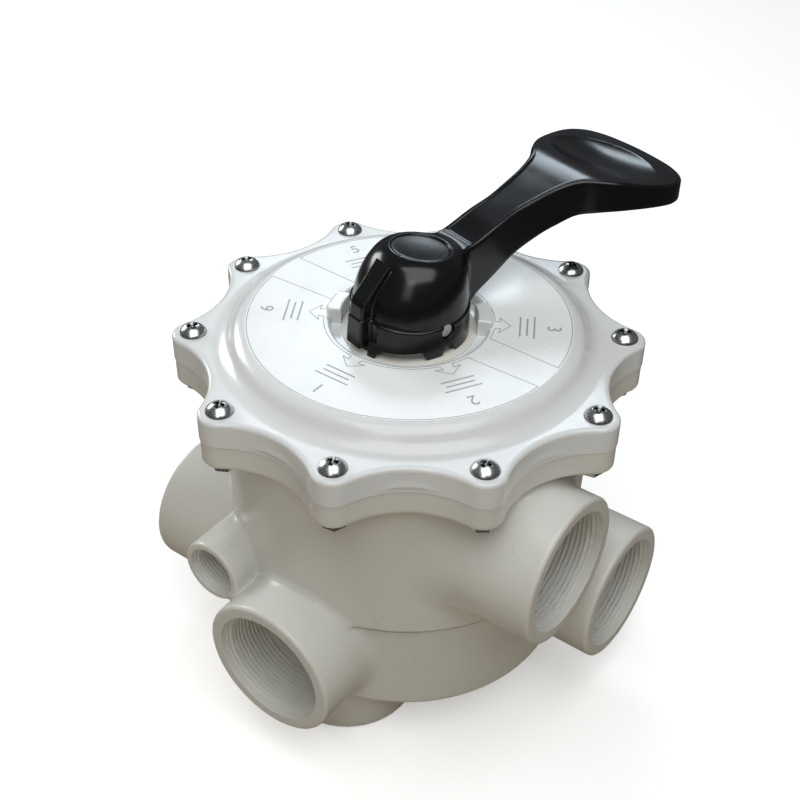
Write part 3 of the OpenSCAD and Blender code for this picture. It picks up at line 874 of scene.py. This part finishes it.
def film_shell():
    """Thin ring of film with softened edges; its top is split into narrower bands."""
    edge = 0.1
    top = [(r, FILM_Z) for r in np.linspace(FILM_IN_R + edge, FILM_OUT_R - edge, 13)]
    section = [(FILM_IN_R, DOME_H), (FILM_IN_R, FILM_Z - 0.08), *top]
    section += [(FILM_OUT_R, FILM_Z - 0.08), (FILM_OUT_R, DOME_H)]
    r, z = np.array(section)[:, :, None].transpose(1, 0, 2)
    angle = np.linspace(0, 2 * math.pi, 240, endpoint=False)
    return ring_shell(np.stack([r * np.cos(angle), r * np.sin(angle), z + 0 * angle], -1))


# ---------------------------------------------------------------- materials
class Nodes:
    """Short helper for building a material's node tree."""

    def __init__(self, name):
        self.material = bpy.data.materials.new(name)
        self.material.use_nodes = True
        self.tree = self.material.node_tree
        self.shader = self.tree.nodes["Principled BSDF"]
        self.place = self.add("ShaderNodeTexCoord").outputs["Object"]

    def feed(self, socket, value):
        """Links an output to a socket, or sets the socket to a plain value."""
        if isinstance(value, bpy.types.NodeSocket):
            self.tree.links.new(value, socket)
        else:
            socket.default_value = value

    def add(self, kind, inputs=None, **settings):
        node = self.tree.nodes.new(kind)
        for key, value in settings.items():
            setattr(node, key, value)
        for key, value in (inputs or {}).items():
            self.feed(node.inputs[key], value)
        return node

    def noise(self, scale, detail=3.0, rough=0.55, place=None):
        return self.add("ShaderNodeTexNoise", {
            "Scale": scale, "Detail": detail, "Roughness": rough, "Vector": place or self.place,
        }).outputs["Fac"]

    def ramp(self, value, low, high, out_low, out_high):
        return self.add("ShaderNodeMapRange", {
            "Value": value, "From Min": low, "From Max": high, "To Min": out_low, "To Max": out_high,
        }).outputs["Result"]

    def mix(self, factor, a, b):
        # sockets of the colour mix: 0 factor, 6 and 7 colours, output 2
        return self.add("ShaderNodeMix", {0: factor, 6: a, 7: b}, data_type="RGBA").outputs[2]

    def bump(self, height, strength, distance, normal=None):
        inputs = {"Height": height, "Strength": strength, "Distance": distance}
        if normal is not None:
            inputs["Normal"] = normal
        return self.add("ShaderNodeBump", inputs).outputs["Normal"]

    def set(self, **values):
        """Sets or links the shader's inputs; an underscore in a name stands for a space."""
        for key, value in values.items():
            self.feed(self.shader.inputs[key.replace("_", " ")], value)


def rgb(r, g, b):
    return r, g, b, 1.0


def moulded_plastic(name, colour, shade, rough, coat=0.0, grain=0.12, specular=0.5):
    """Injection-moulded plastic: faint colour drift, uneven gloss, fine skin and lighter sharp convex
    edges.
    """
    n = Nodes(name)
    drift = n.ramp(n.noise(16, 2), 0.35, 0.65, 0, 1)
    base = n.mix(drift, rgb(*colour), rgb(*shade))
    edge = n.ramp(n.add("ShaderNodeNewGeometry").outputs["Pointiness"], 0.52, 0.6, 0, 0.35)
    base = n.mix(edge, base, rgb(*(min(c * 1.12 + 0.012, 1) for c in colour)))
    smudge = n.noise(45, 5, 0.6)
    skin = n.bump(n.noise(420, 1), grain, 0.00003)
    wavy = n.bump(n.noise(60, 1), 0.06, 0.0004, skin)
    n.set(
        Base_Color=base, Roughness=n.ramp(smudge, 0.3, 0.7, rough * 0.82, rough * 1.2), Normal=wavy,
        Specular_IOR_Level=specular, Coat_Weight=coat, Coat_Roughness=0.08,
    )
    return n.material


def steel(name, colour, rough, painted_shade_reach=0.004):
    """Stainless steel with fine scratches, and painted shade that darkens its crevices."""
    n = Nodes(name)
    # painted shade: ambient occlusion within this reach of the surface
    shade = n.add("ShaderNodeAmbientOcclusion", {"Distance": painted_shade_reach}, samples=6).outputs["AO"]
    long = n.add("ShaderNodeMapping", {"Vector": n.place, "Scale": (1.0, 9.0, 1.0)}).outputs["Vector"]
    scratch = n.noise(700, 3, 0.7, long)
    darker = rgb(*(c * 0.8 for c in colour))
    tone = n.mix(n.ramp(n.noise(90, 3), 0.35, 0.65, 0, 1), rgb(*colour), darker)
    # painted shade: near black where ambient occlusion finds a crevice, such as the screws' cross recesses
    tone = n.mix(n.ramp(shade, 0.6, 0.95, 0, 1), rgb(0.03, 0.028, 0.025), tone)
    n.set(
        Base_Color=tone, Metallic=1.0, Roughness=n.ramp(scratch, 0.3, 0.7, rough * 0.75, rough * 1.35),
        Normal=n.bump(scratch, 0.08, 0.00005),
    )
    return n.material


def rubber(name):
    """Black rubber with a grey bloom."""
    n = Nodes(name)
    bloom = n.noise(120, 4)
    n.set(
        Base_Color=n.mix(n.ramp(bloom, 0.3, 0.7, 0, 1), rgb(0.012, 0.012, 0.013), rgb(0.03, 0.03, 0.03)),
        Roughness=n.ramp(bloom, 0.3, 0.7, 0.55, 0.75), Normal=n.bump(n.noise(900, 3), 0.2, 0.0001),
    )
    return n.material


body_plastic = moulded_plastic("body_plastic", (0.74, 0.74, 0.705), (0.71, 0.705, 0.665), 0.32, 0.1)
cover_plastic = moulded_plastic("cover_plastic", (0.80, 0.815, 0.82), (0.78, 0.795, 0.80), 0.22, 0.2)
film = moulded_plastic(
    "label_film", (0.92, 0.94, 0.95), (0.90, 0.92, 0.93), 0.25, grain=0.03, specular=0.3
)
ink = moulded_plastic("label_ink", (0.36, 0.37, 0.38), (0.42, 0.43, 0.44), 0.4, grain=0.05)
inner_plastic = moulded_plastic("inner_plastic", (0.62, 0.62, 0.60), (0.57, 0.57, 0.55), 0.45)
nylon = moulded_plastic("nylon", (0.82, 0.80, 0.74), (0.78, 0.76, 0.70), 0.4)
handle_plastic = moulded_plastic(
    "handle_plastic", (0.004, 0.004, 0.0045), (0.006, 0.006, 0.007), 0.20, specular=0.45
)
cap_plastic = moulded_plastic(
    "cap_plastic", (0.005, 0.006, 0.006), (0.008, 0.009, 0.009), 0.28, specular=0.4
)
stainless = steel("stainless", (0.74, 0.73, 0.71), 0.24)
spring_steel = steel("spring_steel", (0.55, 0.55, 0.55), 0.3)
pin_steel = steel("pin_steel", (0.86, 0.85, 0.83), 0.6, 0.0006)
seal_rubber = rubber("seal_rubber")

# Pieces that keep their CAD mesh
CAD_FINISH = {
    "port_divider": inner_plastic, "spider_gasket": seal_rubber, "cover_seal": seal_rubber,
    "screw_washers": stainless, "rotor": inner_plastic, "stem": inner_plastic,
    "stem_oring_upper": seal_rubber, "stem_oring_lower": seal_rubber, "lower_spring_washer": nylon,
    "upper_spring_washer": nylon, "slip_washer": nylon, "handle_pin": pin_steel,
}
for node_name, finish in CAD_FINISH.items():
    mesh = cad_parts[node_name].data
    mesh.materials.clear()
    mesh.materials.append(finish)


COARSE = 1.0
BODY_STEP = 1.1 * COARSE

upper = [dual_contour(upper_body_shape, (-116, -116, -112), (116, 116, -10), BODY_STEP)]
upper.append(port_thread(side_place(RIGHT_HIGH)))
new_piece("upper_body_shell", upper, "housing", body_plastic, ["upper_body"])

lower = [dual_contour(lower_body_shape, (-116, -116, -199), (116, 92, -82), BODY_STEP)]
lower += [port_thread(side_place(port)) for port in LOWER_PORTS]
lower.append(port_thread(bottom_place))
lower.append(thread_lining(
    side_place(SIGHT, SIGHT_REACH), SIGHT_CREST_R, SIGHT_ROOT_R, SIGHT_PITCH, SIGHT_MOUTH_LEN,
    SIGHT_THREAD_LEN, SIGHT_SLEEVE_R,
))
new_piece("lower_body_shell", lower, "housing", body_plastic, ["lower_body"])

cover_net = dual_contour(cover_shape, (-116, -116, -22), (116, 116, 15), 0.9 * COARSE)
new_piece("cover_shell", [cover_net], "housing", cover_plastic, ["cover"])

handle_net = dual_contour(handle_shape, (-45, -45, 1), (85, 165, 66), 0.55 * COARSE)
new_piece("lever_handle", [handle_net], "handle_assembly", handle_plastic, ["handle"])
new_piece("hub_cap", [cap_shell()], "handle_assembly", cap_plastic, ["handle_cap"])

screw = dual_contour(screw_shape, (-8, -8, -8), (8, 8, 5), 0.32)
rod = rod_thread(NUT_TOP_Z - NUT_T - 0.8, -6.5)
screws = around_lobes(screw, 0, 5) + around_lobes(rod, 0, 5)
new_piece("cover_screw_set", screws, "housing", stainless, ["cover_screws"])
nut = dual_contour(nut_shape, (-7, -7, -1), (7, 7, 6), 0.4)
nuts = around_lobes(nut, NUT_TOP_Z - NUT_T, 9)
new_piece("cover_nut_set", nuts, "housing", stainless, ["cover_nuts"])

# The coil spans the CAD spring's height and rides on the turning ring; on the valve the spring stands
# still at its top and is squeezed from below as the rotor lifts
spring_low, spring_high = [(v.z - STEM_FRAME[2]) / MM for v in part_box("rotor_spring")]
wire_low, wire_high = spring_low + SPRING_WIRE_R, spring_high - SPRING_WIRE_R
coil = coil_shell(SPRING_R, SPRING_WIRE_R, SPRING_TURNS, wire_low, wire_high)
spring = new_piece("spring_coil", [coil], "turning_ring", spring_steel, ["rotor_spring"])
spring_top = tuple(to_row((0, 0, spring_high)))
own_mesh(spring)

new_piece("label_ring", [film_shell()], "housing", film, ["position_label"])
new_piece("label_marks", label_lines() + figure_shells(), "housing", ink)


# ---------------------------------------------------------------- stage, camera, light
def look_frame(azimuth, elevation, roll):
    """Rotation of a camera in degrees: turned left from looking along +Y, tilted down, rolled."""
    az, el, ro = (math.radians(v) for v in (azimuth, elevation, roll))
    right = Vector((1, 0, 0))
    up = Vector((0, math.sin(el), math.cos(el)))
    back = Vector((0, -math.cos(el), math.sin(el)))
    rolled = right * math.cos(ro) + up * math.sin(ro), up * math.cos(ro) - right * math.sin(ro), back
    turn = Matrix.Rotation(az, 3, "Z")
    return Matrix([turn @ v for v in rolled]).transposed()


camera_data = bpy.data.cameras.new("camera")
camera_data.lens = 57.61
camera_data.sensor_width = 36.0
camera = bpy.data.objects.new("camera", camera_data)
bpy.context.scene.collection.objects.link(camera)
camera_place = Matrix.Translation(Vector(to_row((288.15, -407.29, 345.83))))
camera.matrix_world = camera_place @ look_frame(35.71, 37.645, 0.99).to_4x4()
bpy.context.scene.camera = camera

# The floor lies just under the bottom port's mouth. It looks white to the camera, throws a duller, warm
# light on the valve, and is dark in its reflections.
floor_z = MOUTH_Z * MM + STEM_FRAME[2] - 0.0005
floor_half = 14.0
corners = ((-1, -1), (1, -1), (1, 1), (-1, 1))
floor_mesh = bpy.data.meshes.new("floor")
floor_mesh.from_pydata([(floor_half * i, floor_half * j, floor_z) for i, j in corners], [], [(0, 1, 2, 3)])
floor = bpy.data.objects.new("floor", floor_mesh)
bpy.context.scene.collection.objects.link(floor)
pale = Nodes("floor_paper")
path = pale.add("ShaderNodeLightPath")
seen = path.outputs["Is Camera Ray"]
unseen = pale.mix(path.outputs["Is Glossy Ray"], rgb(0.60, 0.53, 0.44), rgb(0.10, 0.09, 0.08))
paper = pale.mix(pale.noise(3, 2), rgb(0.92, 0.92, 0.92), rgb(0.94, 0.94, 0.94))
pale.set(
    Base_Color=pale.mix(seen, unseen, paper), Roughness=0.9, Specular_IOR_Level=0.2,
    Emission_Color=rgb(1.0, 1.0, 1.0), Emission_Strength=pale.ramp(seen, 0, 1, 0, 0.38),
    Normal=pale.bump(pale.noise(400, 3), 0.05, 0.0002),
)
floor_mesh.materials.append(pale.material)

centre = Vector(((cad_box[0][0] + cad_box[1][0]) / 2, (cad_box[0][1] + cad_box[1][1]) / 2, 0.12))


def area_light(name, offset, size, power, colour, height=None):
    """Area light at an offset from the valve's centre, turned towards it."""
    data = bpy.data.lights.new(name, "AREA")
    data.energy = power
    data.color = colour
    data.size = size
    if height:
        data.shape = "RECTANGLE"
        data.size_y = height
    light = bpy.data.objects.new(name, data)
    bpy.context.scene.collection.objects.link(light)
    light.location = centre + Vector(offset)
    light.rotation_euler = (centre - light.location).to_track_quat("-Z", "Y").to_euler()


area_light("top_softbox", (0.35, -0.35, 1.25), 1.2, 12.6, (0.93, 0.98, 1.0))
area_light("window", (-0.80, 1.19, 1.1), 0.7, 6, (0.80, 0.91, 1.0), 0.35)
area_light("left_lamp", (-1.35, 0.1, 0.55), 0.5, 7.0, (0.96, 0.99, 1.0))
area_light("front_fill", (0.45, -1.25, 0.95), 0.4, 1.7, (1.0, 0.94, 0.86), 0.9)

# The world: dim and warm as ambient light, dim and cool in reflections, white behind the floor
world = bpy.data.worlds.new("studio")
bpy.context.scene.world = world
world.use_nodes = True
sky = world.node_tree
ray = sky.nodes.new("ShaderNodeLightPath")
tint = sky.nodes.new("ShaderNodeRGB").outputs[0]
tint.default_value = rgb(0.14, 0.119, 0.095)
for kind, colour in (("Is Glossy Ray", rgb(0.10, 0.11, 0.12)), ("Is Camera Ray", rgb(0.9, 0.9, 0.9))):
    choice = sky.nodes.new("ShaderNodeMix")
    choice.data_type = "RGBA"
    choice.inputs[7].default_value = colour
    sky.links.new(ray.outputs[kind], choice.inputs[0])
    sky.links.new(tint, choice.inputs[6])
    tint = choice.outputs[2]
sky.links.new(tint, sky.nodes["Background"].inputs["Color"])
bpy.context.scene.view_settings.view_transform = "Standard"
